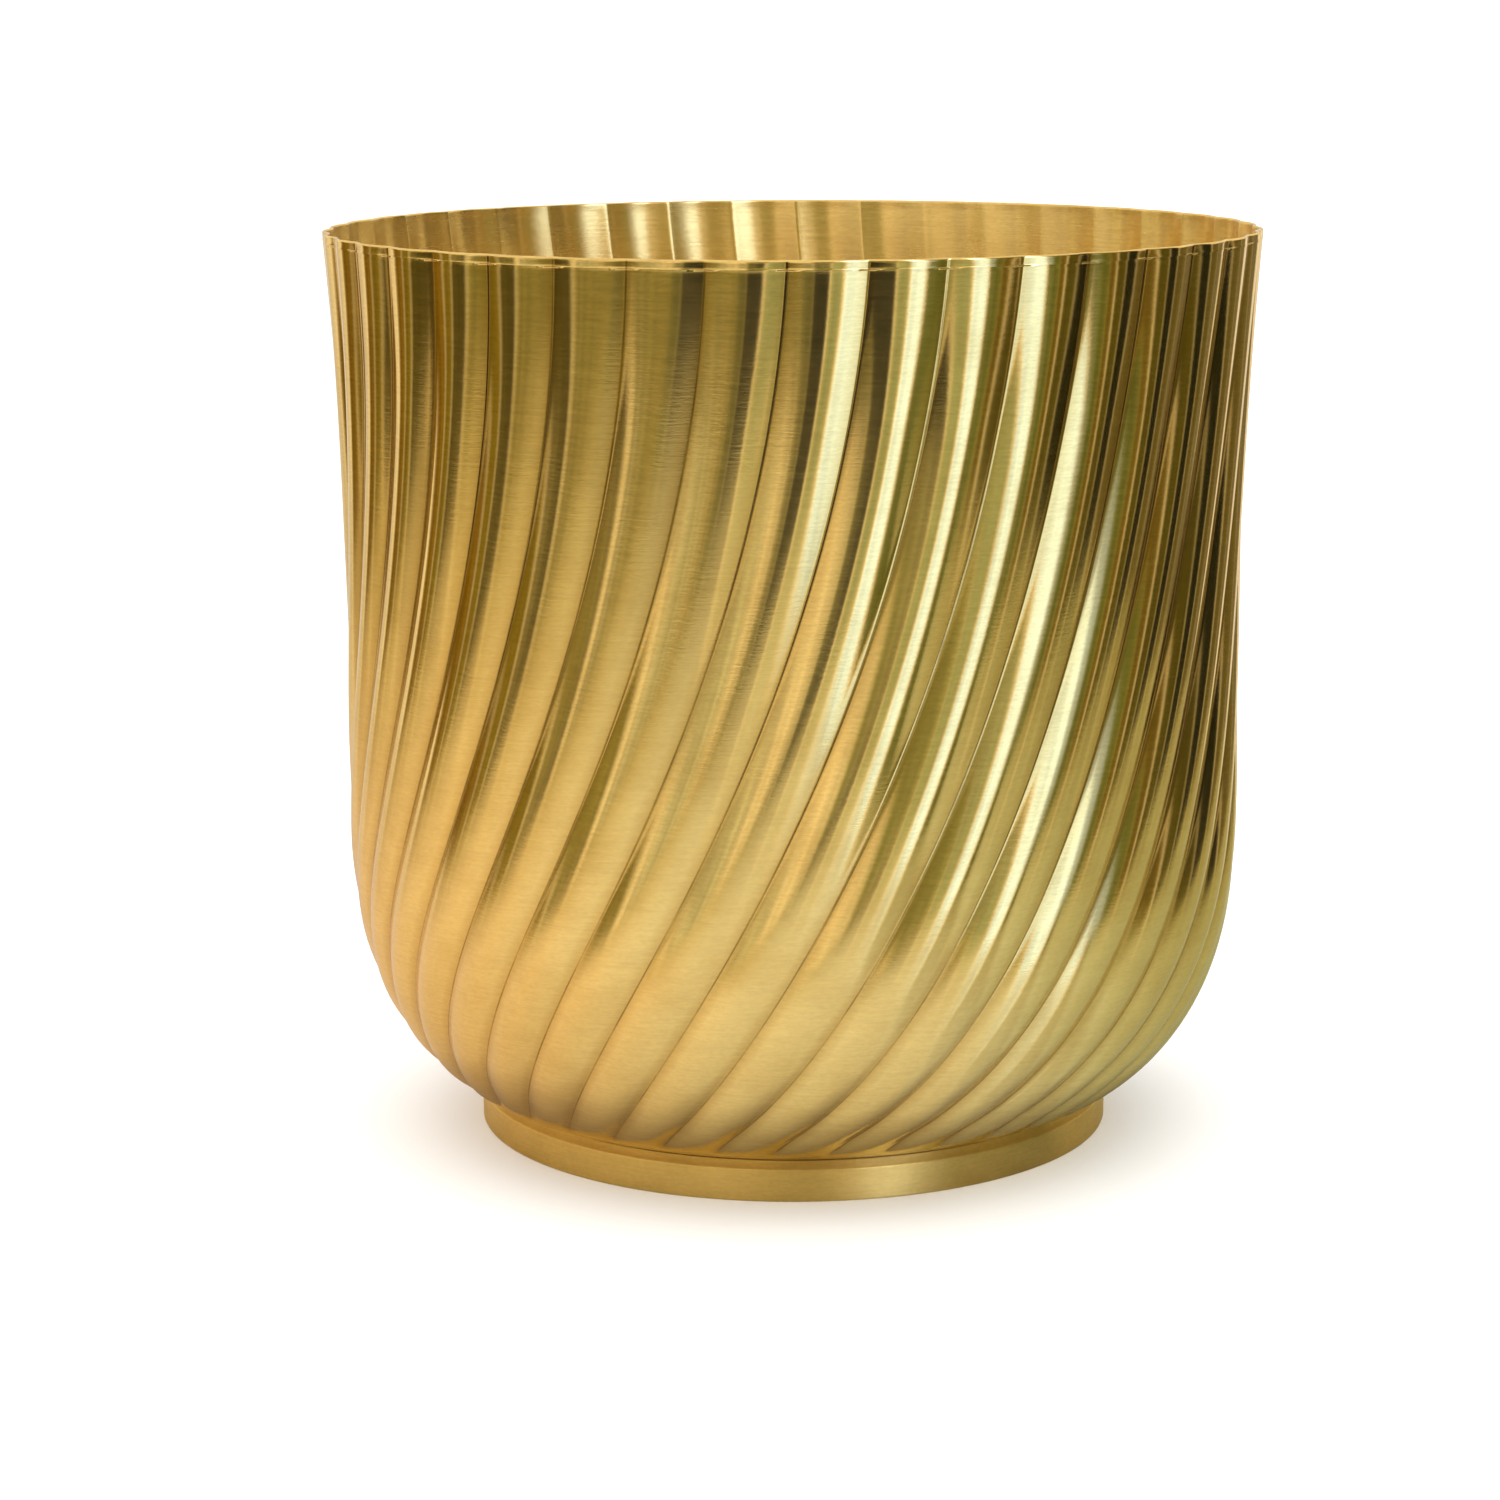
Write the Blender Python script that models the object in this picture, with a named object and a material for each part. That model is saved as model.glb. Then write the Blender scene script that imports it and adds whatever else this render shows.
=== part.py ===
"""Brass planter pot: a spun and fluted sheet-brass bowl on a brazed-on foot ring.

Metres, +Z up. The pot stands on z = 0 with its axis on the world Z axis.
"""
import bmesh
import bpy
import math
from mathutils import Vector

MM = 0.001

# Overall sizes
RIM_RADIUS = 105.0 * MM
POT_HEIGHT = 205.0 * MM
SHEET = 0.8 * MM
GAP = 0.3 * MM

# Side of the bowl, from the rim down
SHOULDER_Z = 203.0 * MM        # where the flare ends and the short upright lip begins
FLARE_START_Z = 118.0 * MM     # the wall flares out to the rim above this
WAIST_RADIUS = 101.5 * MM      # narrowest stretch of the wall
BELLY_RADIUS = 101.8 * MM      # widest stretch, just above the rounded underside
BELLY_Z = 75.0 * MM
UNDER_SPAN = 66.53 * MM        # radial reach of the rounded underside
UNDER_DROP = 73.22 * MM        # its height
UNDER_POWER = 2.546            # 2 would be an ellipse, more is squarer
DISH_TOP_Z = 12.0 * MM         # the underside meets the shallow dish here
DISH_RADIUS = 18.6 * MM        # arc that turns the dish into the flat bottom
BOTTOM_RADIUS = 67.6 * MM
BOTTOM_Z = 9.0 * MM

# Lip, all but upright
LIP_INSET = 0.2 * MM
LIP_STRENGTH = 0.68            # depth of the flutes in the lip, as a share of the full depth

# Flutes
FLUTES = 40
COLUMNS_PER_FLUTE = 4
FLUTE_DEPTH = 1.65 * MM
FLUTE_FLATNESS = 0.28          # 0 is an even arc, more flattens a flute's flanks
FLUTE_AT_RIM = 0.75            # depth at the shoulder, as a share of the full depth
FLUTE_AT_BELLY = 0.90          # depth low on the underside
FLUTE_SHALLOWS_Z = 165.0 * MM  # the flutes grow shallower above this
FLUTE_FULL_Z = 17.0 * MM       # the flutes fade out between here and their end
FLUTE_END_Z = 9.5 * MM
CREASE_AT_RIM = math.radians(8.50)   # azimuth of one crease, from -Y towards +X
SLANT_AT_RIM = math.radians(2.96)    # lean of the flutes from the upright
SLANT_RATE = math.radians(222.8)     # per metre of wall
SLANT_EASE = math.radians(-281.8)    # per metre squared

# Foot ring
FOOT_SEGMENTS = 80
FOOT_RADIUS = 72.6 * MM
FOOT_WALL = 1.6 * MM
FOOT_BAND_TOP = 7.4 * MM
FOOT_NECK_RADIUS = 70.6 * MM
FLANGE_INNER = 60.0 * MM
FLANGE_THICK = 1.2 * MM
EDGE_ROUND = 0.35 * MM

# Brazed joint inside the foot
FILLET_LEG = 3.0 * MM


def lerp(a, b, t):
    return a + (b - a) * t


def smooth(t):
    t = min(max(t, 0.0), 1.0)
    return t * t * (3.0 - 2.0 * t)


def underside_radius(z):
    t = min(max((BELLY_Z - z) / UNDER_DROP, 0.0), 1.0)
    reach = (1.0 - t ** UNDER_POWER) ** (1.0 / UNDER_POWER)
    return BELLY_RADIUS - UNDER_SPAN * (1.0 - reach)


def dish_radius(z):
    rise = 1.0 - (z - BOTTOM_Z) / DISH_RADIUS
    return BOTTOM_RADIUS + DISH_RADIUS * math.sqrt(max(1.0 - rise * rise, 0.0))


def wall_radius(z):
    """Outside radius over the crests of the flutes."""
    if z < DISH_TOP_Z:
        return dish_radius(z)
    if z < BELLY_Z:
        return underside_radius(z)
    if z < FLARE_START_Z:
        t = (z - BELLY_Z) / (FLARE_START_Z - BELLY_Z)
        ease = 0.5 + 0.5 * math.cos(math.pi * t)
        return lerp(WAIST_RADIUS, BELLY_RADIUS, ease)
    t = (z - FLARE_START_Z) / (SHOULDER_Z - FLARE_START_Z)
    return lerp(WAIST_RADIUS, RIM_RADIUS, t * t)


def wall_normal(z):
    """Outward unit normal (radial, up) of the wall's profile."""
    step = 0.05 * MM
    dr = wall_radius(z + step) - wall_radius(max(z - step, BOTTOM_Z))
    dz = z + step - max(z - step, BOTTOM_Z)
    length = math.hypot(dr, dz)
    return dz / length, -dr / length


def flute_strength(z):
    """Depth of the flutes as a share of the full depth: shallower towards both ends."""
    rim = lerp(1.0, FLUTE_AT_RIM, smooth((z - FLUTE_SHALLOWS_Z) / (SHOULDER_Z - FLUTE_SHALLOWS_Z)))
    belly = lerp(FLUTE_AT_BELLY, 1.0, smooth((z - FLUTE_FULL_Z) / (BELLY_Z - FLUTE_FULL_Z)))
    return rim * belly * smooth((z - FLUTE_END_Z) / (FLUTE_FULL_Z - FLUTE_END_Z))


def crease_turn(z_wanted):
    """Azimuth that a crease has gained on its way down from the shoulder."""
    steps = 160
    travelled = 0.0
    turn = 0.0
    z = SHOULDER_Z
    radius = wall_radius(z)
    drop = (SHOULDER_Z - z_wanted) / steps
    for _ in range(steps):
        z_next = z - drop
        radius_next = wall_radius(z_next)
        run = math.hypot(drop, radius_next - radius)
        middle = travelled + run / 2.0
        slant = SLANT_AT_RIM + SLANT_RATE * middle + SLANT_EASE * middle * middle
        turn += math.tan(slant) * run / ((radius + radius_next) / 2.0)
        travelled += run
        z = z_next
        radius = radius_next
    return turn


def wall_levels():
    """Heights of the rings of vertices, closer together where the wall curves."""
    under = [10.0, 12.0, 14.5, FLUTE_FULL_Z / MM, 23.5, 32.0, 44.0, 60.0]
    side = [80.0, 105.0, 132.0, 160.0, 184.0, SHOULDER_Z / MM]
    return [z * MM for z in under + side]


def wall_ring(z, inset):
    """Radius, height, flute strength and turn of one ring of the sheet."""
    out, up = wall_normal(z)
    radius = wall_radius(z) - inset * out
    return radius, z - inset * up, flute_strength(z), crease_turn(z)


def lip_rings(turn):
    """The lip: up from the shoulder, over its rounded edge and down inside."""
    run = LIP_INSET
    rise = POT_HEIGHT - SHOULDER_Z
    length = math.hypot(run, rise)
    out = rise / length
    up = run / length
    top = RIM_RADIUS - LIP_INSET
    half = SHEET / 2.0
    middle_r = top - half * out
    middle_z = POT_HEIGHT - half
    rings = []
    for k in range(5):
        angle = math.atan2(up, out) + math.radians(45.0 * k)
        radius = middle_r + half * math.cos(angle)
        height = middle_z + half * math.sin(angle)
        rings.append((radius, min(height, POT_HEIGHT), LIP_STRENGTH, turn))
    return rings


def bowl_rings():
    """Every ring of the bowl, from the outside bottom over the lip to the inside bottom."""
    turn_low = crease_turn(BOTTOM_Z + 0.2 * MM)
    rings = [(BOTTOM_RADIUS, BOTTOM_Z, 0.0, turn_low)]
    rings += [wall_ring(z, 0.0) for z in wall_levels()]
    rings += lip_rings(0.0)
    rings += [wall_ring(z, SHEET) for z in reversed(wall_levels())]
    rings.append((BOTTOM_RADIUS, BOTTOM_Z + SHEET, 0.0, turn_low))
    return rings


def ring_points(ring):
    """Points round one ring: convex flutes that meet in sharp creases."""
    radius, height, strength, turn = ring
    count = FLUTES * COLUMNS_PER_FLUTE
    points = []
    for i in range(count):
        place = (i % COLUMNS_PER_FLUTE) / COLUMNS_PER_FLUTE
        square = (2.0 * place - 1.0) ** 2
        dip = square * (1.0 + FLUTE_FLATNESS - FLUTE_FLATNESS * square)
        r = radius - FLUTE_DEPTH * strength * dip
        azimuth = CREASE_AT_RIM - turn + math.tau * i / count
        points.append(Vector((r * math.sin(azimuth), -r * math.cos(azimuth), height)))
    return points


def skin(rings_of_points, closed_loop):
    """Faces between neighbouring rings; a closed loop joins the last to the first."""
    bm = bmesh.new()
    rows = [[bm.verts.new(p) for p in ring] for ring in rings_of_points]
    pairs = list(zip(rows, rows[1:]))
    if closed_loop:
        pairs.append((rows[-1], rows[0]))
    else:
        bm.faces.new(rows[0][::-1])
        bm.faces.new(rows[-1])
    for low, high in pairs:
        for i in range(len(low)):
            j = (i + 1) % len(low)
            bm.faces.new((low[i], low[j], high[j], high[i]))
    return bm


def finish(bm, name, material):
    bmesh.ops.recalc_face_normals(bm, faces=bm.faces)
    mesh = bpy.data.meshes.new(name)
    bm.to_mesh(mesh)
    bm.free()
    mesh.materials.append(material)
    node = bpy.data.objects.new(name, mesh)
    bpy.context.scene.collection.objects.link(node)
    return node


def metal(name, colour, roughness):
    material = bpy.data.materials.new(name)
    material.use_nodes = True
    shader = material.node_tree.nodes["Principled BSDF"]
    shader.inputs["Base Color"].default_value = (*colour, 1.0)
    shader.inputs["Metallic"].default_value = 1.0
    shader.inputs["Roughness"].default_value = roughness
    return material


def turned(name, profile, segments, material):
    """A closed profile of (radius, height) points turned about the Z axis."""
    rings = []
    for radius, height in profile:
        angles = [math.tau * i / segments for i in range(segments)]
        rings.append([Vector((radius * math.cos(a), radius * math.sin(a), height)) for a in angles])
    return finish(skin(rings, True), name, material)


def arc(centre, radius, start, end, steps):
    points = []
    for k in range(steps + 1):
        angle = math.radians(lerp(start, end, k / steps))
        points.append((centre[0] + radius * math.cos(angle), centre[1] + radius * math.sin(angle)))
    return points


def build_bowl():
    rings = [ring_points(ring) for ring in bowl_rings()]
    brass = metal("bowl_brass", (0.78, 0.56, 0.25), 0.30)
    return finish(skin(rings, False), "fluted_bowl", brass)


def build_foot():
    """Angle-section ring: an upright band, a coved shoulder and a flange under the bowl."""
    flange_top = BOTTOM_Z - GAP
    flange_low = flange_top - FLANGE_THICK
    inner = FOOT_RADIUS - FOOT_WALL
    e = EDGE_ROUND
    band_top = (FOOT_RADIUS - e, FOOT_BAND_TOP - e)
    cove = flange_top - FOOT_BAND_TOP
    profile = arc((FOOT_RADIUS - e, e), e, -90.0, 0.0, 2)
    profile += arc(band_top, e, 0.0, 90.0, 2)
    profile += [(FOOT_NECK_RADIUS + cove * 0.45, FOOT_BAND_TOP + cove * 0.30)]
    profile += [(FOOT_NECK_RADIUS, flange_top), (FLANGE_INNER, flange_top)]
    profile += [(FLANGE_INNER, flange_low), (inner, flange_low)]
    profile += arc((inner + e, e), e, 180.0, 270.0, 1)
    brass = metal("foot_brass", (0.80, 0.58, 0.27), 0.35)
    return turned("foot_ring", profile, FOOT_SEGMENTS, brass)


def build_fillet():
    """Brazing run in the corner between the flange's inner edge and the bowl's bottom."""
    outer = FLANGE_INNER - GAP
    top = BOTTOM_Z - GAP
    tip = (outer - FILLET_LEG, top)
    belly = (outer - FILLET_LEG * 0.45, top - FLANGE_THICK * 0.55)
    profile = [(outer, top), tip, (tip[0] + 0.1 * MM, top - 0.2 * MM), belly]
    profile += [(outer - 0.2 * MM, top - FLANGE_THICK), (outer, top - FLANGE_THICK + 0.1 * MM)]
    alloy = metal("brazing_alloy", (0.72, 0.60, 0.38), 0.45)
    return turned("solder_fillet", profile, FOOT_SEGMENTS, alloy)


def main():
    for node in list(bpy.data.objects):
        bpy.data.objects.remove(node, do_unlink=True)
    build_bowl()
    build_foot()
    build_fillet()


main()
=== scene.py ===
"""Looks of the brass planter pot: fluted sheet-brass bowl, turned foot ring and brazed joint."""
import math

import bmesh
import bpy
from mathutils import Euler, Matrix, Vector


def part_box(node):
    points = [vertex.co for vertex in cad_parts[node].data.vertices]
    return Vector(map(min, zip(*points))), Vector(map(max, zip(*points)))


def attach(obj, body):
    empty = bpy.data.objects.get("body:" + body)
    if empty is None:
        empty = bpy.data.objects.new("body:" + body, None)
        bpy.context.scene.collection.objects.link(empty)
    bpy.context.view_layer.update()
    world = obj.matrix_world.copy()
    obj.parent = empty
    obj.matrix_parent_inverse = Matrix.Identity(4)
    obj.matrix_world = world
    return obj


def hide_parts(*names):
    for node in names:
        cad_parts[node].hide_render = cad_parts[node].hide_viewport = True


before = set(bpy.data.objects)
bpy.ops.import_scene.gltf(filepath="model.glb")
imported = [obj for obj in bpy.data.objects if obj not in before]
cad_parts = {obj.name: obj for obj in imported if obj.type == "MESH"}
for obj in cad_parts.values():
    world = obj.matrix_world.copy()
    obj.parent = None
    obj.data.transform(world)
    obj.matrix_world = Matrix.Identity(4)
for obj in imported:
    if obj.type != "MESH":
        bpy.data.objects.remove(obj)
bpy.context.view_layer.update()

MM = 0.001
bowl_low, bowl_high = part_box("fluted_bowl")
foot_low, foot_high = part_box("foot_ring")

# Sheet and overall sizes
POT_HEIGHT = bowl_high[2]
BOTTOM_Z = bowl_low[2]
RIM_RADIUS = 104.94 * MM
SHEET = 0.8 * MM

# Side of the bowl, from the rim down
SHOULDER_Z = POT_HEIGHT - 2.0 * MM
FLARE_START_Z = 118.0 * MM
WAIST_RADIUS = 101.5 * MM
BELLY_RADIUS = 101.8 * MM
BELLY_Z = 75.0 * MM
UNDER_SPAN = 66.53 * MM
UNDER_DROP = 73.22 * MM
UNDER_POWER = 2.546
DISH_TOP_Z = 12.0 * MM
DISH_RADIUS = 18.6 * MM
BOTTOM_RADIUS = 67.6 * MM

# Lip, all but upright, above a fine bead rolled along the shoulder
LIP_EDGE_RADIUS = 104.92 * MM
LIP_FLUTE = 0.9
BEAD_HEIGHT = 0.045 * MM
BEAD_HALF_WIDTH = 0.32 * MM
EDGE_SLACK = 0.04 * MM    # keeps the uneven edge within the pot's height
WALL_TOP_RADIUS = RIM_RADIUS - BEAD_HEIGHT

# Flutes
FLUTES = 40
COLUMNS_PER_FLUTE = 14
COLUMN_BUNCHING = 0.65    # 0 spaces the columns evenly; more draws them to the creases
FLUTE_DEPTH = 1.65 * MM
FLUTE_AT_RIM = 0.75
FLUTE_AT_BELLY = 0.90
FLUTE_SHALLOWS_Z = 165.0 * MM
FLUTE_FLATNESS = 0.28     # 0 is an even arc; more flattens a flute's flanks
CREASE_ROUND = 0.35 * MM
FLUTE_END_Z = 9.5 * MM
FLUTE_FULL_Z = 17.0 * MM
CREASE_AT_RIM = math.radians(8.50)
SLANT_AT_RIM = math.radians(2.96)
SLANT_RATE = math.radians(222.8)
SLANT_EASE = math.radians(-281.8)
WAVER = 0.03 * MM
WAVER_LENGTH = 30.0 * MM
WAVER_STRETCH = 0.45      # the waver is drawn out up the pot

# Distance between the bowl's rows of points
LOWEST_SPACING = 1.7 * MM
WALL_SPACING = 3.0 * MM
LIP_SPACING = 0.4 * MM
BEAD_SPACING = 0.12 * MM
BEAD_REACH = 0.4 * MM
INNER_LIP_SPACING = 0.6 * MM

# Foot ring
FOOT_SEGMENTS = 256
FOOT_RADIUS = foot_high[0]
FOOT_WALL = 1.6 * MM
FOOT_BAND_TOP = 7.4 * MM
FOOT_NECK_RADIUS = 70.6 * MM
FOOT_EDGE_ROUND = 0.45 * MM
FLANGE_TOP = foot_high[2]
FLANGE_INNER = 60.0 * MM
FLANGE_THICK = 1.2 * MM
GAP = 0.3 * MM

# Brazed joint
FILLET_LEG = 3.0 * MM
FILLET_DROP = 1.1 * MM

# Marks in the brass, as their length round the pot and their width up it
LATHE_LINES = (10.0 * MM, 0.6 * MM)
GRAIN = (1.4 * MM, 0.5 * MM)
CLOUDS = (24.0 * MM, 16.0 * MM)
WORN_PATCHES = (45.0 * MM, 30.0 * MM)

# The "crease" attribute runs from 0 on a flute's crest to 1 in a crease, and is below -1 inside
# Where the crease darkening begins: towards the creases tarnish and painted shade, along them old polish
# and painted shade
TARNISH_AND_SHADE_FROM = 0.60
DIRT_AND_SHADE_FROM = 0.96
DIRT_AND_SHADE_FULL = 0.995
INSIDE_DROP = 2.0

# Camera, from the pot's axis and its foot
CAMERA_DISTANCE = 0.855
CAMERA_HEIGHT = 0.2593
CAMERA_LENS = 90.78       # on a sensor 36 mm wide
LOOKS_DOWN = math.radians(11.515)
LOOKS_ASIDE = math.radians(0.66)
CAMERA_ROLL = math.radians(-0.2276)

STUDIO_WHITE = 1.7        # strength of the even white light on the floor

# Floor and the table sheet that the brass reflects, in metres
FLOOR_RADIUS = 6.0
TABLE_RADIUS = 0.8
TABLE_MIDDLE = (-0.07, -0.04, 0.0)
TABLE_FADE = (0.16, 0.62)
TABLE_EDGE = (0.60, 0.66)
PAINTED_FOOT_SHADOW = (0.075, 0.10)
GLARE_AZIMUTH = math.radians(39.0)
GLARE_WIDTH = (math.radians(14.0), math.radians(6.0))

MATH = "ShaderNodeMath"
MAP = "ShaderNodeMapRange"


def linear(code):
    """An sRGB hex code as linear red, green, blue and alpha."""
    parts = [int(code[i:i + 2], 16) / 255.0 for i in (1, 3, 5)]
    flat = [c / 12.92 if c <= 0.04045 else ((c + 0.055) / 1.055) ** 2.4 for c in parts]
    return (*flat, 1.0)


def add(tree, kind, inputs=None, **settings):
    """Adds a node. An input given as a node or a socket is linked, anything else is its value."""
    node = tree.nodes.new(kind)
    for key, value in settings.items():
        setattr(node, key, value)
    for key, value in (inputs or {}).items():
        if isinstance(value, bpy.types.Node):
            value = value.outputs[0]
        if isinstance(value, bpy.types.NodeSocket):
            tree.links.new(value, node.inputs[key])
        else:
            node.inputs[key].default_value = value
    return node


def lerp(a, b, t):
    return a + (b - a) * t


def smooth(t):
    t = min(max(t, 0.0), 1.0)
    return t * t * (3.0 - 2.0 * t)


# ------------------------------------------------------------ outline of the bowl


def underside_radius(z):
    t = min(max((BELLY_Z - z) / UNDER_DROP, 0.0), 1.0)
    reach = (1.0 - t ** UNDER_POWER) ** (1.0 / UNDER_POWER)
    return BELLY_RADIUS - UNDER_SPAN * (1.0 - reach)


def dish_radius(z):
    rise = 1.0 - (z - BOTTOM_Z) / DISH_RADIUS
    return BOTTOM_RADIUS + DISH_RADIUS * math.sqrt(max(1.0 - rise * rise, 0.0))


def wall_radius(z):
    """Outside radius over the crests of the flutes."""
    if z < DISH_TOP_Z:
        return dish_radius(z)
    if z < BELLY_Z:
        return underside_radius(z)
    if z < FLARE_START_Z:
        t = (z - BELLY_Z) / (FLARE_START_Z - BELLY_Z)
        return lerp(WAIST_RADIUS, BELLY_RADIUS, 0.5 + 0.5 * math.cos(math.pi * t))
    t = (z - FLARE_START_Z) / (SHOULDER_Z - FLARE_START_Z)
    return lerp(WAIST_RADIUS, WALL_TOP_RADIUS, t * t)


def wall_path():
    """The outside from the flat bottom's edge up to the shoulder, in short steps."""
    steps = 900
    path = []
    for k in range(steps + 1):
        z = lerp(BOTTOM_Z, SHOULDER_Z, (k / steps) ** 1.5)
        path.append((wall_radius(z), z))
    return path


def lip_path(bead_height):
    """From just under the shoulder over its bead and up the lip to the middle of its edge."""
    edge_z = POT_HEIGHT - SHEET / 2.0 - EDGE_SLACK
    low_z = SHOULDER_Z - 1.5 * BEAD_HALF_WIDTH
    steps = 300
    path = []
    for k in range(steps + 1):
        z = lerp(low_z, edge_z, k / steps)
        up_lip = (z - SHOULDER_Z) / (edge_z - SHOULDER_Z)
        lip_radius = lerp(WALL_TOP_RADIUS, LIP_EDGE_RADIUS, up_lip)
        off = min(abs(z - SHOULDER_Z) / BEAD_HALF_WIDTH, 1.0)
        bead = bead_height * (0.5 + 0.5 * math.cos(math.pi * off))
        path.append((min(lip_radius, wall_radius(z)) + bead, z))
    return path


def spaced(path, spacing_at):
    """Points along a path whose distance apart follows spacing_at(height)."""
    result = [path[0]]
    need = spacing_at(path[0][1])
    for a, b in zip(path, path[1:]):
        length = math.dist(a, b)
        start = 0.0
        while length - start >= need:
            start += need
            result.append(tuple(lerp(p, q, start / length) for p, q in zip(a, b)))
            need = spacing_at(result[-1][1])
        need -= length - start
    if math.dist(result[-1], path[-1]) > 0.3 * spacing_at(path[-1][1]):
        result.append(path[-1])
    else:
        result[-1] = path[-1]
    return result


def outward(points, i):
    """Unit normal (radial, up) of the outline at one of its points."""
    a = points[max(i - 1, 0)]
    b = points[min(i + 1, len(points) - 1)]
    length = math.dist(a, b)
    return (b[1] - a[1]) / length, (a[0] - b[0]) / length


def flute_strength(z):
    """Depth of the flutes as a share of the full depth: they are shallower towards both ends."""
    if z > SHOULDER_Z:
        up_lip = (z - SHOULDER_Z) / (POT_HEIGHT - SHOULDER_Z)
        return FLUTE_AT_RIM * lerp(1.0, LIP_FLUTE, smooth(up_lip))
    rim = lerp(1.0, FLUTE_AT_RIM, smooth((z - FLUTE_SHALLOWS_Z) / (SHOULDER_Z - FLUTE_SHALLOWS_Z)))
    belly = lerp(FLUTE_AT_BELLY, 1.0, smooth((z - FLUTE_FULL_Z) / (BELLY_Z - FLUTE_FULL_Z)))
    return rim * belly * smooth((z - FLUTE_END_Z) / (FLUTE_FULL_Z - FLUTE_END_Z))


def crease_turns(points):
    """Azimuth that a crease has gained at each point, counted down from the lip."""
    turns = [0.0] * len(points)
    travelled = 0.0
    for i in range(len(points) - 2, -1, -1):
        run = math.dist(points[i], points[i + 1])
        middle = travelled + run / 2.0
        slant = SLANT_AT_RIM + SLANT_RATE * middle + SLANT_EASE * middle * middle
        radius = max((points[i][0] + points[i + 1][0]) / 2.0, BOTTOM_RADIUS)
        turns[i] = turns[i + 1] + math.tan(slant) * run / radius
        travelled += run
    return turns


def sheet_rows(points, flat_points, inset, inside):
    """Rows (radius, height, normal, flute strength, turn, inside) of one face of the sheet."""
    turns = crease_turns(points)
    rows = []
    for i, (radius, z) in enumerate(points):
        out, up = outward(points, i) if i >= flat_points else (0.0, -1.0)
        place = (max(radius - inset * out, 0.0), z - inset * up)
        rows.append((*place, (out, up), flute_strength(z), turns[i], inside))
    return rows


def wall_spacing(z):
    return lerp(LOWEST_SPACING, WALL_SPACING, smooth(z / BELLY_Z))


def bead_spacing(z):
    return BEAD_SPACING if abs(z - SHOULDER_Z) < BEAD_REACH else LIP_SPACING


def outline_rows():
    """Rows right round the sheet: up the outside, over the edge and down the inside."""
    path = wall_path()
    while path[-1][1] > SHOULDER_Z - 2.5 * BEAD_HALF_WIDTH:
        path.pop()
    flat = [(BOTTOM_RADIUS * k, BOTTOM_Z) for k in (0.0, 0.25, 0.6, 0.9)]
    wall = spaced(path, wall_spacing)
    lip = spaced(lip_path(BEAD_HEIGHT), bead_spacing)
    inner_lip = spaced(lip_path(0.0), lambda z: INNER_LIP_SPACING)
    rows = sheet_rows(flat + wall + lip, len(flat), 0.0, 0.0)
    inner_rows = sheet_rows(flat + wall[::2] + inner_lip, len(flat), SHEET, 1.0)
    edge_rows = []
    radius, z, (out, up), strength, turn, _ = rows[-1]
    for k in range(1, 6):
        angle = math.atan2(up, out) + math.pi * k / 6.0
        edge_rows.append((
            radius + SHEET / 2.0 * (math.cos(angle) - out),
            z + SHEET / 2.0 * (math.sin(angle) - up),
            (out, up), strength, turn, 0.5))
    return rows + edge_rows + inner_rows[::-1]


# ------------------------------------------------------------ making meshes


def plain_object(name, mesh):
    piece = bpy.data.objects.new(name, mesh)
    bpy.context.scene.collection.objects.link(piece)
    return piece


def outline_object(rows):
    """The outline as loose points that the fluting tree reads row by row."""
    mesh = bpy.data.meshes.new("bowl outline")
    mesh.from_pydata([(r, 0.0, z) for r, z, *_ in rows], [], [])
    for name, values in (
        ("flute", [row[3] for row in rows]),
        ("turn", [row[4] for row in rows]),
        ("inside", [row[5] for row in rows]),
    ):
        attribute = mesh.attributes.new(name, "FLOAT", "POINT")
        attribute.data.foreach_set("value", values)
    normal = mesh.attributes.new("outward", "FLOAT_VECTOR", "POINT")
    normal.data.foreach_set("vector", [v for row in rows for v in (row[2][0], 0.0, row[2][1])])
    return plain_object("bowl_outline", mesh)


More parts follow.
